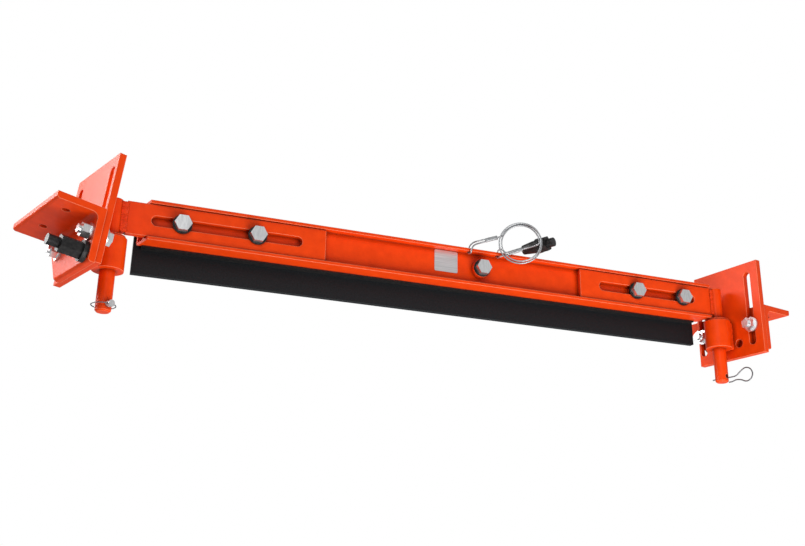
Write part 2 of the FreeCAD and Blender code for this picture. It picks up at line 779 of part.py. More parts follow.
def bracket_angle(side):
    """Hot rolled angle on the plate's outer face, with a round root and round toes."""
    body = new_body(name_of(side) + "_angle")
    shift = name_of(side) + "_angle_shift"
    near = "(plate_wide / 2 + %s)" % shift
    profile = new_sketch(body, "XZ_Plane", near)
    sign = "-" if side < 0 else ""
    heel = "(%s(%s + plate_thick))" % (sign, standoff(side))
    leg = "(%s(%s + plate_thick + angle_thick))" % (sign, standoff(side))
    toe = "(%s(%s + plate_thick + angle_shelf))" % (sign, standoff(side))
    top = "(%s + %s_angle_top)" % (ARM_BOTTOM, name_of(side))
    polygon(profile, [
        (heel, top),
        (toe, top),
        (toe, top + " - angle_thick"),
        (leg, top + " - angle_thick"),
        (leg, top + " - angle_leg"),
        (heel, top + " - angle_leg"),
    ])
    pad(body, profile, "angle_long", back=True)
    under = number(top + " - angle_thick")
    foot = number(top + " - angle_leg")
    leg_x = number(leg)
    toe_x = number(toe)

    def corner(edge, x, z):
        box = edge.BoundBox
        here = abs(box.XMin - x) < 0.01 and abs(box.XMax - x) < 0.01
        return here and abs(box.ZMin - z) < 0.01 and abs(box.ZMax - z) < 0.01

    round_edges(body, lambda edge: corner(edge, leg_x, under), "angle_root")
    round_edges(body, lambda edge: corner(edge, toe_x, under) or corner(edge, leg_x, foot), "angle_toe")
    far = "(angle_long - plate_wide / 2 - %s)" % shift
    trim = new_sketch(body, "YZ_Plane")
    below = "(" + top + " - angle_leg)"
    polygon(trim, [
        (far + " - angle_cut", below + " - 1"),
        (far + " + 1", below + " - 1"),
        (far + " + 1", top + " - angle_thick - angle_root"),
        (far, top + " - angle_thick - angle_root"),
    ])
    cut_through(body, trim)
    holes = new_sketch(body, "XY_Plane")
    out = "(%s(%s + plate_thick + shelf_hole_out))" % (sign, standoff(side))
    for step in ("-", "+"):
        circle(holes, out, "(-%s %s shelf_hole_spread / 2)" % (shift, step), "shelf_hole_wide / 2")
    cut_through(body, holes)
    bores = new_sketch(body, "YZ_Plane")
    for step in ("-", ""):
        circle(bores, "(%splate_slot_spread / 2)" % step, top + " - angle_bolt_drop", "bracket_slot / 2")
    if side < 0:
        circle(bores, "-stud_side", top + " - stud_drop", "stud_wide / 2")
    cut_through(body, bores)
    place(body, before=plate_frame(side))
    return keep(body, name_of(side) + "_angle")


def bracket_hardware(side):
    """Two bolts with washers and nuts through the plate's slots, with the right ones put in from outside."""
    turn_in = "-90" if side > 0 else "90"
    turn_out = "90" if side > 0 else "-90"
    sign = "-" if side < 0 else ""
    inner = "(%s)" % standoff(side)
    head_seat = "(%s(%s - washer_thick))" % (sign, inner)
    outer = "(%s + plate_thick + angle_thick)" % inner
    washer_seat = "(%s%s)" % (sign, outer)
    nut_seat = "(%s(%s + washer_thick))" % (sign, outer)
    grip = "(plate_thick + angle_thick + washer_thick * 2 + bracket_nut + thread_proud)"
    height = "(%s + %s_angle_top - angle_bolt_drop)" % (ARM_BOTTOM, name_of(side))
    frame = plate_frame(side)
    head_side = (head_seat, turn_in)
    nut_side = (nut_seat, turn_out)
    if side > 0:
        head_side, nut_side = nut_side, head_side
    rows = {"bolts": [], "inner_washers": [], "outer_washers": [], "nuts": []}
    for step in ("-", ""):
        across = "(%splate_slot_spread / 2)" % step
        made = (
            ("bolts", bolt("bolt", grip, "bracket"), *head_side),
            ("inner_washers", washer("washer", "bracket"), "(%s%s)" % (sign, inner), turn_in),
            ("outer_washers", washer("washer", "bracket"), washer_seat, turn_out),
            ("nuts", nut("nut", "bracket"), *nut_side),
        )
        for row, item, seat, turn in made:
            place(item, seat, across, height, axis="0; 1; 0", turn=turn, before=frame)
            rows[row].append(item)
    for row, items in rows.items():
        label = "%s_bracket_%s" % (name_of(side), row)
        keep(group(label, items), label)


def stud_set():
    """Black stud in the left angle with its thick washer and long coupling nut."""
    frame = plate_frame(-1)
    seat = "(left_standoff + plate_thick + angle_thick)"
    height = "(" + ARM_BOTTOM + " + left_angle_top - stud_drop)"
    stud = cylinder("black_stud", "stud_wide", "stud_long")
    place(stud, "-(left_standoff + plate_thick)", "-stud_side", height, "0; 1; 0", "-90", frame)
    keep(stud, "black_stud")
    thick_washer = ring("stud_washer", "stud_washer_wide", "stud_wide", "stud_washer_thick")
    place(thick_washer, "-" + seat, "-stud_side", height, "0; 1; 0", "-90", frame)
    keep(thick_washer, "stud_washer")
    bore = cylinder("bore", "stud_wide", "coupling_long * 3")
    place(bore, z="-coupling_long")
    coupling = cut("stud_coupling", hexagon("hex", "coupling_flats", "coupling_long"), bore)
    place(coupling, "-(" + seat + " + stud_washer_thick)", "-stud_side", height, "0; 1; 0", "-90", frame)
    keep(coupling, "stud_coupling")


def spring_clip():
    """Spring wire clip whose straight leg goes through the right pin's cross hole, with a finger ring."""
    radius = size("clip_ring")
    middle = size("clip_neck") + radius * 1.2
    corner_radius = radius / math.cos(math.radians(22.5))
    route = [(-size("clip_tip"), 0, 0), (size("clip_neck") - radius / 2, 0, 0)]
    for angle in range(145, -146, -48):
        turn = math.radians(angle)
        route.append((middle + corner_radius * math.cos(turn), 0, corner_radius * math.sin(turn)))
    short_leg = size("pin_wide") / 2 + size("clip_wire")
    leg_drop = size("lock_bore") / 2 + size("clip_wire") * 2
    route += [(size("clip_neck") - radius / 2, 0, -radius / 2), (short_leg + radius / 2, 0, -leg_drop)]
    route.append((short_leg, 0, -leg_drop))
    item = bent_round("spring_clip", route, size("clip_wire"))
    low = "(clip_wire - lock_bore) / 2"
    place(item, RIGHT_PIN, PIN_DEPTH, LOCK_HEIGHT + " + " + low, turn=lock_axis(1))
    return keep(item, "spring_clip")


def size(alias):
    return float(sheet.get(alias))


def bent_round(name, route, wide):
    """Round bar or rope along a route of straight runs, each corner an arc as large as its two runs allow."""
    points = [FreeCAD.Vector(*point) for point in route]
    runs = [end - start for start, end in zip(points, points[1:])]
    edges = []
    radii = []
    here = points[0]
    for corner, run_in, run_out in zip(points[1:], runs, runs[1:]):
        half_turn = run_in.getAngle(run_out) / 2
        reach = 0.45 * min(run_in.Length, run_out.Length)
        radius = reach / math.tan(half_turn)
        back = FreeCAD.Vector(run_in).normalize() * -reach
        onward = FreeCAD.Vector(run_out).normalize() * reach
        inward = (back + onward).normalize() * (radius / math.cos(half_turn) - radius)
        edges.append(Part.LineSegment(here, corner + back))
        edges.append(Part.Arc(corner + back, corner + inward, corner + onward))
        radii.append(radius)
        here = corner + onward
    edges.append(Part.LineSegment(here, points[-1]))
    path = Part.Wire([edge.toShape() for edge in edges])
    section = Part.Wire([Part.makeCircle(wide / 2, points[0], runs[0])])
    item = doc.addObject("Part::Feature", name)
    item.Shape = path.makePipeShell([section], True, False)
    share = item.Shape.Volume / (math.pi * wide * wide / 4 * path.Length)
    least = "%.1f" % min(radii) if radii else "none"
    print("%s: %.0f mm long, least radius %s, volume %.4f of section times length" % (name, path.Length, least, share))
    return item


# The wire rope's route, in the order in which it runs. An eye goes down through its hole in the beam's
# flange and comes back up in front of the flange's edge; its two ends lie side by side in the ferrule.
LEFT_EYE = [
    (60.8, -59.8, 154.7), (49.7, -57.5, 150.9), (36.5, -55.4, 146.5), (28.5, -53.6, 138.0), (26.3, -53.0, 131.0),
    (26.0, -53.0, 118.7), (26.0, -65.3, 118.7), (27.5, -65.8, 127.5), (34.0, -62.7, 137.5), (50.3, -57.9, 145.6),
    (62.4, -60.2, 149.7),
]
LEFT_FERRULE = (61.6, -60.0, 152.2, -11.9, 18.5)
LEAD = [(86.6, -65.3, 160.8), (96.4, -72.6, 163.4)]
COIL_CENTRE = (127.4, -91.6, 145.2)
COIL_YAW = -27.8
TAIL = [(137.2, -78.0, 137.3), (144.6, -81.1, 139.9), (155.5, -91.0, 141.5), (163.4, -107.5, 142.6)]
RIGHT_FERRULE = (112.4, -67.5, 128.5, -23.0, 18.1)
RIGHT_EYE = [
    (111.6, -67.2, 131.0), (105.5, -64.6, 128.8), (100.0, -61.7, 137.5), (94.0, -54.7, 138.0), (91.2, -53.0, 130.5),
    (91.0, -53.0, 118.7), (91.5, -65.3, 118.7), (98.5, -67.4, 120.5), (105.6, -64.9, 123.6), (113.2, -67.8, 126.0),
]
FITTING = (154.06, -54.96, 146.06, -58.6, 2.4)


def aimed(x, y, z, yaw, rise):
    """Placement at a point of the rope's route with the Z axis laid along a yaw from X and a rise."""
    there = "create(<<placement>>; create(<<vector>>; %s; %s; %s + %s);" % (x, y, z, ROPE_LIFT)
    there += " create(<<rotation>>; create(<<vector>>; 0; 0; 1); %s)) * " % yaw
    there += "create(<<placement>>; create(<<vector>>; 0; 0; 0);"
    return there + " create(<<rotation>>; create(<<vector>>; 0; 1; 0); 90 - %s)) * " % rise


def ferrule(side):
    """Pressed oval sleeve that holds the two ropes of an eye side by side."""
    label = "cable_%s_ferrule" % name_of(side)
    body = new_body(label)
    outline = new_sketch(body, "XY_Plane")
    half = "(ferrule_wide - ferrule_thick) / 2"
    slot(outline, ("-" + half, "0"), (half, "0"), "ferrule_thick / 2")
    pad(body, outline, name_of(side) + "_ferrule")
    place(body, before=aimed(*(LEFT_FERRULE if side < 0 else RIGHT_FERRULE)))
    return keep(body, label)


def cable():
    """Wire rope: an eye, a ferrule, a coil of two and a half turns, and a ferrule and an eye again."""
    rope_wide = size("rope_wide")
    for label, route in (("cable_left_eye", LEFT_EYE), ("cable_lead", LEAD), ("cable_tail", TAIL),
                         ("cable_right_eye", RIGHT_EYE)):
        keep(place(bent_round(label, route, rope_wide), z=ROPE_LIFT), label)
    ferrule(-1)
    ferrule(1)
    coil = doc.addObject("Part::Torus", "cable_coil")
    bind(coil, "Radius1", "coil_wide / 2")
    bind(coil, "Radius2", "coil_thick / 2")
    upright = aimed(*COIL_CENTRE, "%s + 90" % COIL_YAW, "0")
    place(coil, before=upright)
    keep(coil, "cable_coil")


def cable_fitting():
    """Black fitting that the coil holds: a tapered hexagon body, a collar, a nut and the end of a stud."""
    frame = aimed(*FITTING)
    bore_depth = "(fitting_body - clamp_nut)"
    hex_body = hexagon("hex", "fitting_flats", "fitting_body")
    taper = doc.addObject("Part::Cone", "taper")
    bind(taper, "Radius1", "fitting_small / 2")
    bind(taper, "Radius2", "fitting_large / 2")
    bind(taper, "Height", "fitting_body")
    turned = doc.addObject("Part::Common", "turned")
    turned.Base = hex_body
    turned.Tool = taper
    bore = cylinder("bore", "clamp_shank", "fitting_body")
    place(bore, z=bore_depth)
    keep(place(cut("fitting_body", turned, bore), before=frame), "cable_fitting_body")
    collar = ring("fitting_collar", "fitting_collar", "clamp_shank", "fitting_collar_thick")
    keep(place(collar, z="fitting_body", before=frame), "cable_fitting_collar")
    keep(place(nut("fitting_nut"), z="fitting_body + fitting_collar_thick", before=frame), "cable_fitting_nut")
    stud = cylinder("fitting_stud", "clamp_shank", "fitting_long - " + bore_depth)
    keep(place(stud, z=bore_depth, before=frame), "cable_fitting_stud")


beam_channel()
beam_face_plate()
bolt_spacers()
blade_retainer()
blade()
blade_clamp_bar()
clamp_hardware()
for hand in (-1, 1):
    arm(hand)
    pivot_pin(hand)
    arm_weld(hand)
    loose_washer(hand)
    sleeve(hand)
    bracket_plate(hand)
    sleeve_weld(hand)
    bracket_angle(hand)
    bracket_hardware(hand)
lock_pin()
lock_wire()
spring_clip()
stud_set()
cable()
cable_fitting()
doc.removeObject("Probe")
doc.recompute()

for item in doc.Objects:
    if "Invalid" in item.State or "Error" in item.State:
        raise ValueError("%s (%s) failed: %s" % (item.Name, item.Label, item.State))
os.makedirs("parts", exist_ok=True)
for item in pieces:
    if item.Shape.isNull() or not item.Shape.isValid():
        raise ValueError("%s has no valid shape" % item.Label)
    item.Shape.exportStep("parts/%s.step" % item.Label)
    box = item.Shape.BoundBox
    print("%-28s %3d solids %10.0f mm3  x %8.1f %8.1f  y %7.1f %7.1f  z %7.1f %7.1f" % (
        item.Label, len(item.Shape.Solids), item.Shape.Volume,
        box.XMin, box.XMax, box.YMin, box.YMax, box.ZMin, box.ZMax))
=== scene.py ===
import math
import bmesh
import bpy
from mathutils import Matrix, Vector


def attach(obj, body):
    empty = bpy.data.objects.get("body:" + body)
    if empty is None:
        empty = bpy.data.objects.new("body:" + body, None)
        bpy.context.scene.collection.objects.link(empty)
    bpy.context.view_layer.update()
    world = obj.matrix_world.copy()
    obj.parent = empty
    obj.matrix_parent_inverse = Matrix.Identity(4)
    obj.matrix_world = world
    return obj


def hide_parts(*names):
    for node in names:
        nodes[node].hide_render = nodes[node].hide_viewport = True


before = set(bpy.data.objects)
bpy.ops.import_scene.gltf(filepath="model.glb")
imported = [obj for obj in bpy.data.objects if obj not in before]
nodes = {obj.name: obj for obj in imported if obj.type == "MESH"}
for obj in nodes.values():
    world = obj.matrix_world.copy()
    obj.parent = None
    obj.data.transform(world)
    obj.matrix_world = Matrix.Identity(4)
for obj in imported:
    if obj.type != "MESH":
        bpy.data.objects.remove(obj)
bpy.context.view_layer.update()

scene = bpy.context.scene
scene.view_settings.view_transform = "Standard"

# Camera: below the plow and to its left, looking up along the beam, as the photograph was taken.
# Its place and its lens are fitted to edges and bolts measured in the photograph.
lens_mm = 44.72
sensor_mm = 36.0
camera_place = (-0.79546, -1.82864, -0.59630)
camera_data = bpy.data.cameras.new("camera")
camera_data.lens = lens_mm
camera_data.sensor_width = sensor_mm
camera_data.clip_end = 50.0
camera = bpy.data.objects.new("camera", camera_data)
scene.collection.objects.link(camera)
to_right = Vector((0.932744, -0.360221, 0.015152))
to_down = Vector((0.130580, 0.298347, -0.945483))
ahead = Vector((0.336063, 0.883872, 0.325319))
turned = Matrix((to_right, -to_down, -ahead)).transposed()
camera.matrix_world = Matrix.Translation(camera_place) @ turned.to_4x4()
scene.camera = camera

# Studio: white surroundings, a pale floor far below and three soft panels.
# The plow hangs over a conveyor, so the floor is more than a metre under it.
world = bpy.data.worlds.new("surroundings")
scene.world = world
world.use_nodes = True
tree = world.node_tree
tree.nodes.clear()
sky = tree.nodes.new("ShaderNodeOutputWorld")
seen = tree.nodes.new("ShaderNodeBackground")
seen.inputs["Color"].default_value = (1, 1, 1, 1)
seen.inputs["Strength"].default_value = 1.0
lighting = tree.nodes.new("ShaderNodeBackground")
lighting.inputs["Strength"].default_value = 1.0
way_out = tree.nodes.new("ShaderNodeTexCoord")
upward = tree.nodes.new("ShaderNodeSeparateXYZ")
height = tree.nodes.new("ShaderNodeMapRange")
height.inputs["From Min"].default_value = -1.0
walls = tree.nodes.new("ShaderNodeValToRGB")
under_grey = (0.22, 0.22, 0.22, 1)
over_grey = (0.42, 0.42, 0.43, 1)
wall_greys = ((0.46, 0.10), (0.60, 0.30), (0.68, 0.75), (0.80, 0.30))
walls.color_ramp.elements[0].color = under_grey
walls.color_ramp.elements[1].color = over_grey
for place, grey in wall_greys:
    stop = walls.color_ramp.elements.new(place)
    stop.color = (grey, grey, grey, 1)
tree.links.new(way_out.outputs["Generated"], upward.inputs[0])
tree.links.new(upward.outputs["Z"], height.inputs["Value"])
tree.links.new(height.outputs["Result"], walls.inputs["Fac"])
tree.links.new(walls.outputs["Color"], lighting.inputs["Color"])
ray = tree.nodes.new("ShaderNodeLightPath")
choose = tree.nodes.new("ShaderNodeMixShader")
tree.links.new(ray.outputs["Is Camera Ray"], choose.inputs[0])
tree.links.new(lighting.outputs[0], choose.inputs[1])
tree.links.new(seen.outputs[0], choose.inputs[2])
tree.links.new(choose.outputs[0], sky.inputs[0])


def panel(name, place, aim, width, power):
    """A square soft light of that width in metres and power in watts, turned to its aim."""
    data = bpy.data.lights.new(name, "AREA")
    data.size = width
    data.energy = power
    light = bpy.data.objects.new(name, data)
    scene.collection.objects.link(light)
    way = Vector(aim) - Vector(place)
    light.matrix_world = Matrix.Translation(place) @ way.to_track_quat("-Z", "Y").to_matrix().to_4x4()


panel("left_panel", (-1.86, 0.56, 0.82), (-0.687, -0.05, 0.07), 0.9, 30.0)
panel("front_panel", (-1.2, -2.2, 1.1), (0.0, 0.0, 0.05), 1.3, 10.0)
panel("low_panel", (0.3, -0.9, -1.1), (0.1, 0.0, 0.05), 1.2, 26.0)
floor_half = 20
floor_height = -1.9
floor_glow = 0.55
floor_corners = [(x * floor_half, y * floor_half, floor_height)
                 for x, y in ((-1, -1), (1, -1), (1, 1), (-1, 1))]
floor_mesh = bpy.data.meshes.new("floor")
floor_mesh.from_pydata(floor_corners, [], [(0, 1, 2, 3)])
floor = bpy.data.objects.new("floor", floor_mesh)
scene.collection.objects.link(floor)


def surface(name, colour, roughness, metallic=0.0, gloss=0.5):
    """A new material with one colour, before its grain."""
    stuff = bpy.data.materials.new(name)
    stuff.use_nodes = True
    shader = stuff.node_tree.nodes["Principled BSDF"]
    shader.inputs["Base Color"].default_value = (*colour, 1)
    shader.inputs["Roughness"].default_value = roughness
    shader.inputs["Metallic"].default_value = metallic
    shader.inputs["Specular IOR Level"].default_value = gloss
    return stuff


def grain(stuff, scale, low, high, depth, stretch=(1, 1, 1)):
    """Mottles the colour between two shades and roughens the skin by a bump of that depth in metres."""
    tree = stuff.node_tree
    shader = tree.nodes["Principled BSDF"]
    spot = tree.nodes.new("ShaderNodeTexCoord")
    spread = tree.nodes.new("ShaderNodeMapping")
    spread.inputs["Scale"].default_value = stretch
    noise = tree.nodes.new("ShaderNodeTexNoise")
    noise.inputs["Scale"].default_value = scale
    noise.inputs["Detail"].default_value = 5.0
    shades = tree.nodes.new("ShaderNodeValToRGB")
    shades.color_ramp.elements[0].position = 0.3
    shades.color_ramp.elements[1].position = 0.7
    shades.color_ramp.elements[0].color = (*low, 1)
    shades.color_ramp.elements[1].color = (*high, 1)
    bump = tree.nodes.new("ShaderNodeBump")
    bump.inputs["Strength"].default_value = 0.6
    bump.inputs["Distance"].default_value = depth
    tree.links.new(spot.outputs["Object"], spread.inputs["Vector"])
    tree.links.new(spread.outputs["Vector"], noise.inputs["Vector"])
    tree.links.new(noise.outputs["Fac"], shades.inputs["Fac"])
    tree.links.new(noise.outputs["Fac"], bump.inputs["Height"])
    tree.links.new(shades.outputs["Color"], shader.inputs["Base Color"])
    tree.links.new(bump.outputs["Normal"], shader.inputs["Normal"])
    return shades, bump


pale = surface("pale_floor", (0.8, 0.8, 0.8), 0.9)
grain(pale, 3.0, (0.78, 0.78, 0.78), (0.84, 0.84, 0.84), 0.001)
floor_mesh.materials.append(pale)
tree = pale.node_tree
glow = tree.nodes.new("ShaderNodeMath")
glow.operation = "MULTIPLY"
glow.inputs[1].default_value = floor_glow
tree.nodes["Principled BSDF"].inputs["Emission Color"].default_value = (1, 1, 1, 1)
tree.links.new(tree.nodes.new("ShaderNodeLightPath").outputs["Is Camera Ray"], glow.inputs[0])
tree.links.new(glow.outputs[0], tree.nodes["Principled BSDF"].inputs["Emission Strength"])

# Lifting rope: one length of 3.2 mm steel wire rope, laid up from six strands.
# It hangs by a pressed eye in each of two holes in the upper flange, and is wound up between them.
rope_wide = 0.0032
strand_lay = 0.024
strand_groove = 0.00028
left_eye = [
    (60.8, -59.8, 154.7), (49.7, -57.5, 150.9), (36.5, -55.4, 146.5), (28.5, -53.6, 138.0),
    (26.3, -53.0, 131.0), (26.0, -53.0, 118.7), (26.0, -65.3, 118.7), (27.5, -65.8, 127.5),
    (34.0, -62.7, 137.5), (50.3, -57.9, 145.6), (62.4, -60.2, 149.7),
]
lead = [(86.6, -65.3, 160.8), (97.1, -71.3, 163.4)]
tail = [(163.4, -107.5, 142.6), (155.5, -91.0, 141.5), (144.6, -81.1, 139.9), (137.2, -78.0, 137.3)]
right_eye = [
    (113.2, -67.8, 126.0), (105.6, -64.9, 123.6), (98.5, -67.4, 120.5), (91.5, -65.3, 118.7),
    (91.0, -53.0, 118.7), (91.2, -53.0, 130.5), (94.0, -54.7, 138.0), (100.0, -61.7, 137.5),
    (105.5, -64.6, 128.8), (111.6, -67.2, 131.0),
]
coil_centre = Vector((127.4, -91.6, 145.2))
coil_across = Vector((0.8846, -0.4664, 0.0))
coil_front = Vector((-0.4664, -0.8846, 0.0))
coil_up = Vector((0, 0, 1))
coil_radius = 42.5
coil_spread = 3.0
coil_start = 142.0
coil_step = 22.5
coil_points = 39
coil_turns = []
for count in range(coil_points):
    around = math.radians(coil_start - coil_step * count)
    third = math.radians(-90.0 + 120.0 * coil_step * count / 360.0)
    outward = coil_across * math.cos(around) + coil_up * math.sin(around)
    reach = coil_radius + coil_spread * math.cos(third)
    coil_turns.append(tuple(coil_centre + outward * reach + coil_front * (coil_spread * math.sin(third))))
route = left_eye + lead + coil_turns + tail + right_eye
line = bpy.data.curves.new("rope_line", "CURVE")
line.dimensions = "3D"
line.resolution_u = 12
spline = line.splines.new("NURBS")
spline.points.add(len(route) - 1)
for point, spot in zip(spline.points, route):
    point.co = (spot[0] / 1000, spot[1] / 1000, spot[2] / 1000, 1)
spline.order_u = 3
spline.use_endpoint_u = True
line_object = bpy.data.objects.new("rope_line", line)
scene.collection.objects.link(line_object)
bpy.context.view_layer.update()
followed = bpy.data.meshes.new_from_object(line_object)
centre_line = [vertex.co.copy() for vertex in followed.vertices]
bpy.data.objects.remove(line_object)


def put_in(name, mesh, stuff, smooth=True):
    """The mesh as a new piece of that material."""
    piece = bpy.data.objects.new(name, mesh)
    scene.collection.objects.link(piece)
    mesh.materials.append(stuff)
    for face in mesh.polygons:
        face.use_smooth = smooth
    return piece


def drawn_along(name, middle, section, stuff):
    """A closed skin whose cross-section at each point of a line is section(how far along, turn)."""
    total = 24
    verts = []
    faces = []
    side = Vector((0.0, 0.0, 1.0))
    gone = 0.0
    for count, spot in enumerate(middle):
        before = middle[max(count - 1, 0)]
        after = middle[min(count + 1, len(middle) - 1)]
        way = (after - before).normalized()
        side = (side - way * side.dot(way)).normalized()
        other = way.cross(side)
        gone += (spot - before).length
        for turn in range(total):
            across, up = section(gone, 2 * math.pi * turn / total)
            verts.append(spot + side * across + other * up)
    rings = len(middle)
    for ring in range(rings - 1):
        for turn in range(total):
            following = (turn + 1) % total
            faces.append((ring * total + turn, ring * total + following,
                          (ring + 1) * total + following, (ring + 1) * total + turn))
    faces.append(tuple(reversed(range(total))))
    faces.append(tuple(range((rings - 1) * total, rings * total)))
    mesh = bpy.data.meshes.new(name)
    mesh.from_pydata(verts, [], faces)
    mesh.update()
    return put_in(name, mesh, stuff)


def strands(gone, turn):
    """The rope's section: six round lobes that turn once in a lay."""
    twist = 2 * math.pi * gone / strand_lay
    reach = rope_wide / 2 - strand_groove * (1 - abs(math.cos(3 * (turn - twist))))
    return reach * math.cos(turn), reach * math.sin(turn)


wire = surface("galvanised_wire", (0.46, 0.47, 0.48), 0.42, 0.75)
grain(wire, 900.0, (0.30, 0.31, 0.32), (0.56, 0.57, 0.58), 0.0001)
rope = drawn_along("lifting_rope", centre_line, strands, wire)
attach(rope, "beam")
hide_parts("cable_left_eye", "cable_lead", "cable_coil", "cable_tail", "cable_right_eye")

# Rope ferrules: two oval aluminium sleeves, each pressed in three bands over the rope and its returned end.
# They hold the two eyes shut.
pressed = surface("pressed_aluminium", (0.5, 0.51, 0.52), 0.5, 0.6)
grain(pressed, 260.0, (0.33, 0.34, 0.35), (0.52, 0.53, 0.54), 0.00015)
half_wide = 0.00475
half_thick = 0.0030
lip_share = 0.03
ferrule_rings = 54


def pressed_ferrule(name, start, yaw, rise, long, node):
    """A ferrule from its start in mm along a yaw and a rise in degrees, with its length in metres."""
    turn = math.radians(yaw)
    climb = math.radians(rise)
    way = Vector((math.cos(climb) * math.cos(turn), math.cos(climb) * math.sin(turn), math.sin(climb)))
    first = Vector(start) / 1000
    middle = [first + way * (long * count / ferrule_rings) for count in range(ferrule_rings + 1)]

    def crimped_oval(gone, turn):
        share = gone / long
        band = 0.5 - 0.5 * math.cos(6 * math.pi * share)
        lip = min(share, 1 - share, lip_share) / lip_share
        wide = half_wide * (0.90 + 0.10 * lip - 0.09 * band)
        thick = half_thick * (0.94 + 0.06 * lip + 0.02 * band)
        return wide * math.cos(turn), thick * math.sin(turn)

    piece = drawn_along(name, middle, crimped_oval, pressed)
    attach(piece, "beam")
    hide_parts(node)
    return piece


left_ferrule = pressed_ferrule("left_rope_ferrule", (61.6, -60.0, 152.2), -11.9, 18.5, 0.0270,
                               "cable_left_ferrule")
right_ferrule = pressed_ferrule("right_rope_ferrule", (112.4, -67.5, 128.5), -23.0, 18.1, 0.0284,
                                "cable_right_ferrule")

# Orange paint: sprayed enamel on every welded steel piece, with a painted highlight along sharp edges and
# painted shade in corners and recesses.
# The beam, face plate, arms, pins, washers, sleeves, plates, angles and the middle spacer ring carry it.
orange = surface("orange_enamel", (0.86, 0.055, 0.004), 0.32, 0.0, 0.14)
shades, skin = grain(orange, 55.0, (0.80, 0.050, 0.0015), (0.90, 0.062, 0.0026), 0.0002)
tree = orange.node_tree


def colours_of(sockets):
    """The colour sockets among a mixing node's sockets, in order."""
    return [socket for socket in sockets if socket.type == "RGBA"]


# Painted highlight: a pale salmon is mixed into the paint along sharp edges, where the rounded normal turns
# away from the flat one.
edge_highlight_colour = (1.0, 0.36, 0.20, 1)
# Painted shade: this near-black is mixed into the paint where ambient occlusion within 14 mm finds corners,
# recesses and neighbouring parts.
corner_shade_colour = (0.10, 0.006, 0.001, 1)
rounded = tree.nodes.new("ShaderNodeBevel")
rounded.inputs["Radius"].default_value = 0.0016
rounded.samples = 8
straight = tree.nodes.new("ShaderNodeNewGeometry")
facing = tree.nodes.new("ShaderNodeVectorMath")
facing.operation = "DOT_PRODUCT"
edge_highlight_mask = tree.nodes.new("ShaderNodeMapRange")
edge_highlight_mask.inputs["From Min"].default_value = 1.0
edge_highlight_mask.inputs["From Max"].default_value = 0.90
edge_highlight_mask.inputs["To Max"].default_value = 0.75
paler = tree.nodes.new("ShaderNodeMix")
paler.data_type = "RGBA"
paler_colours = colours_of(paler.inputs)
paler_colours[1].default_value = edge_highlight_colour
tree.links.new(rounded.outputs["Normal"], facing.inputs[0])
tree.links.new(straight.outputs["Normal"], facing.inputs[1])
tree.links.new(facing.outputs["Value"], edge_highlight_mask.inputs["Value"])
tree.links.new(edge_highlight_mask.outputs["Result"], paler.inputs[0])
tree.links.new(shades.outputs["Color"], paler_colours[0])
tree.links.new(rounded.outputs["Normal"], skin.inputs["Normal"])
corner = tree.nodes.new("ShaderNodeAmbientOcclusion")
corner.inputs["Distance"].default_value = 0.014
corner.samples = 8
corner_shade_mask = tree.nodes.new("ShaderNodeMapRange")
corner_shade_mask.inputs["From Min"].default_value = 0.35
corner_shade_mask.inputs["From Max"].default_value = 0.92
corner_shade_mask.inputs["To Min"].default_value = 0.25
shaded_paint = tree.nodes.new("ShaderNodeMix")
shaded_paint.data_type = "RGBA"
shaded_paint_colours = colours_of(shaded_paint.inputs)
shaded_paint_colours[0].default_value = corner_shade_colour
tree.links.new(corner.outputs["AO"], corner_shade_mask.inputs["Value"])
tree.links.new(corner_shade_mask.outputs["Result"], shaded_paint.inputs[0])
tree.links.new(colours_of(paler.outputs)[0], shaded_paint_colours[1])
tree.links.new(colours_of(shaded_paint.outputs)[0], tree.nodes["Principled BSDF"].inputs["Base Color"])


def finish_with(stuff, *names):
    """Gives the solids of those names the material."""
    for name in names:
        for place in nodes[name].material_slots:
            place.material = stuff


finish_with(orange, "beam_channel", "beam_face_plate", "left_arm", "right_arm", "left_pin", "right_pin",
            "left_washer", "right_washer", "left_sleeve", "right_sleeve", "left_plate", "right_plate",
            "left_angle", "right_angle", "centre_spacer")

# Weld beads: they join each arm to its pin and each sleeve to its plate, laid by hand and painted over.
# The bead shows the scales of the weld pool, about 4 mm apart.
scale_pitch = 0.0042
scale_rise = 0.0007
sway_rise = 0.0006
bead_sink = 0.0003
grid_size = 0.0008
bead = surface("painted_bead", (0.84, 0.055, 0.004), 0.36, 0.0, 0.2)
ripple = grain(bead, 90.0, (0.74, 0.042, 0.003), (0.90, 0.065, 0.006), 0.0006)[1]
tree = bead.node_tree
bands = tree.nodes.new("ShaderNodeTexWave")
bands.bands_direction = "Z"
bands.inputs["Scale"].default_value = 105.0
bands.inputs["Distortion"].default_value = 3.0
tree.links.new(tree.nodes["Texture Coordinate"].outputs["Object"], bands.inputs["Vector"])
tree.links.new(bands.outputs["Fac"], ripple.inputs["Height"])


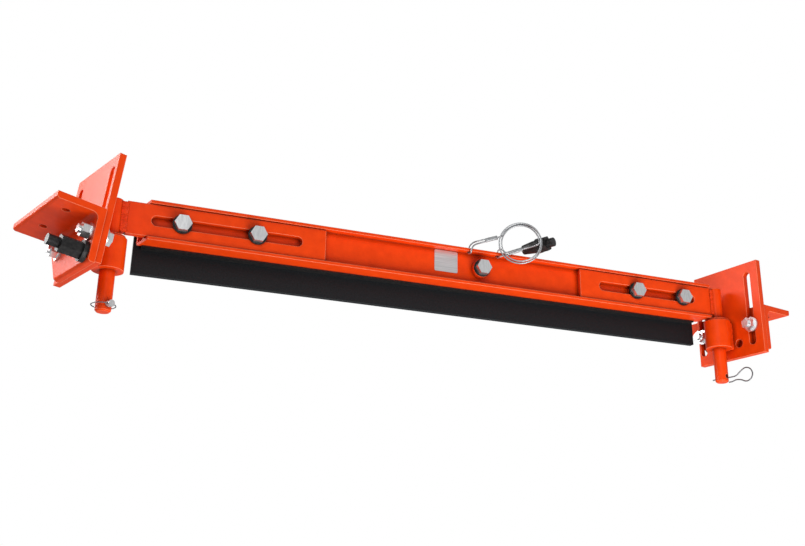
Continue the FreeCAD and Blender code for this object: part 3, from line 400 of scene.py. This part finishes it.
def laid_bead(node, body):
    """The weld's solid with the weld pool's scales and the hand's unevenness raised on its skin."""
    fine = bpy.data.objects.new(node + "_fine", nodes[node].data.copy())
    scene.collection.objects.link(fine)
    even = fine.modifiers.new("even", "REMESH")
    even.mode = "VOXEL"
    even.voxel_size = grid_size
    bpy.context.view_layer.update()
    mesh = bpy.data.meshes.new_from_object(fine.evaluated_get(bpy.context.evaluated_depsgraph_get()))
    bpy.data.objects.remove(fine)
    raised = []
    for vertex in mesh.vertices:
        x, y, z = vertex.co
        scale = abs(math.sin(math.pi * z / scale_pitch + 1.5 * math.sin(600 * x) + math.sin(500 * y)))
        sway = math.sin(330 * z + 2.0) * math.sin(170 * z)
        raised.append(vertex.co + vertex.normal * (scale_rise * scale + sway_rise * sway - bead_sink))
    for vertex, spot in zip(mesh.vertices, raised):
        vertex.co = spot
    mesh.materials.clear()
    piece = put_in(node + "_bead", mesh, bead)
    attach(piece, body)
    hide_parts(node)


laid_bead("left_arm_weld", "left_arm")
laid_bead("right_arm_weld", "right_arm")
laid_bead("left_sleeve_weld", "left_bracket")
laid_bead("right_sleeve_weld", "right_bracket")

# Bolts, nuts and washers: zinc-plated steel, with the faint drawn lines of the plating.
# Five bolts clamp the blade and two hold each angle; spacer tubes, clamp bar and lock pin are plated too.
zinc = surface("zinc_plating", (0.80, 0.81, 0.82), 0.30, 0.92)
grain(zinc, 420.0, (0.72, 0.73, 0.74), (0.92, 0.93, 0.94), 0.00008, (1, 1, 0.2))
finish_with(zinc, "clamp_bolts", "clamp_nuts", "clamp_back_washers", "left_bracket_bolts",
            "right_bracket_bolts", "left_bracket_nuts", "right_bracket_nuts", "left_bracket_inner_washers",
            "right_bracket_inner_washers", "left_bracket_outer_washers", "right_bracket_outer_washers",
            "bolt_spacers", "lock_pin", "blade_clamp_bar")

# Pin retainers: the left lock pin's snap wire and the right pin's clip, bent from drawn spring wire.
# The wire is a darker grey than the plating, with fine lines along it.
drawn = surface("spring_wire", (0.22, 0.22, 0.23), 0.38, 0.8)
grain(drawn, 700.0, (0.12, 0.12, 0.13), (0.30, 0.30, 0.31), 0.00005)
finish_with(drawn, "lock_wire", "spring_clip")

# Thread of the stud: rolled, 2.5 mm from crest to crest, under the same black oxide.
# The bands run round its axis, which is turned 19 degrees from the beam.
thread = surface("black_thread", (0.02, 0.02, 0.021), 0.4, 0.5)
crest = grain(thread, 200.0, (0.010, 0.010, 0.011), (0.034, 0.032, 0.031), 0.0008)[1]
tree = thread.node_tree
lead_angle = tree.nodes.new("ShaderNodeMapping")
lead_angle.inputs["Rotation"].default_value = (0, 0, math.radians(-19))
turns = tree.nodes.new("ShaderNodeTexWave")
turns.bands_direction = "X"
turns.inputs["Scale"].default_value = 126.0
tree.links.new(tree.nodes["Texture Coordinate"].outputs["Object"], lead_angle.inputs["Vector"])
tree.links.new(lead_angle.outputs["Vector"], turns.inputs["Vector"])
tree.links.new(turns.outputs["Fac"], crest.inputs["Height"])
finish_with(thread, "black_stud")

# Blackened steel: the blade's retaining strip, the washers in front, the stud's washer and coupling, and
# the rope's fitting. It is oiled and nearly black, with brown in the thin places.
black = surface("black_oxide", (0.02, 0.02, 0.021), 0.45, 0.5)
grain(black, 200.0, (0.010, 0.010, 0.011), (0.034, 0.032, 0.031), 0.0001)
finish_with(black, "clamp_front_washers", "blade_retainer", "stud_washer", "stud_coupling",
            "cable_fitting_body", "cable_fitting_collar", "cable_fitting_nut", "cable_fitting_stud")

# Blade: a strip of black rubber belting, cut square, whose lower edge wipes the belt.
# Its face is matt with a fine pressed cloth mark and dust in it.
rubber = surface("black_rubber", (0.009, 0.010, 0.011), 0.55, 0.0, 0.22)
grain(rubber, 320.0, (0.004, 0.0055, 0.0065), (0.012, 0.0145, 0.017), 0.00025)
finish_with(rubber, "blade")

# Identity plate: a bare sheet of brushed metal, 52 by 46 mm with rounded corners, glued to the face plate.
# Nothing is written on it.
plate_left, plate_right = -0.0445, 0.0010
plate_low, plate_high = 0.0790, 0.1190
plate_front, plate_back = -0.04535, -0.0448
plate_round = 0.003
plate = bmesh.new()
plate_corners = []
for x, z, start in ((plate_right, plate_high, 0), (plate_left, plate_high, 90),
                    (plate_left, plate_low, 180), (plate_right, plate_low, 270)):
    for count in range(7):
        around = math.radians(start + 15 * count)
        plate_corners.append((x + plate_round * math.cos(around), z + plate_round * math.sin(around)))
front = [plate.verts.new((x, plate_front, z)) for x, z in plate_corners]
back = [plate.verts.new((x, plate_back, z)) for x, z in plate_corners]
plate.faces.new(front)
plate.faces.new(list(reversed(back)))
for count in range(len(front)):
    other = (count + 1) % len(front)
    plate.faces.new((front[count], back[count], back[other], front[other]))
bmesh.ops.recalc_face_normals(plate, faces=plate.faces)
plate_mesh = bpy.data.meshes.new("identity_plate")
plate.to_mesh(plate_mesh)
plate.free()
sheet = surface("brushed_sheet", (0.75, 0.75, 0.76), 0.38, 0.7)
grain(sheet, 120.0, (0.62, 0.62, 0.63), (0.84, 0.84, 0.85), 0.00005, (0.15, 1, 6))
label = put_in("identity_plate", plate_mesh, sheet, smooth=False)
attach(label, "beam")
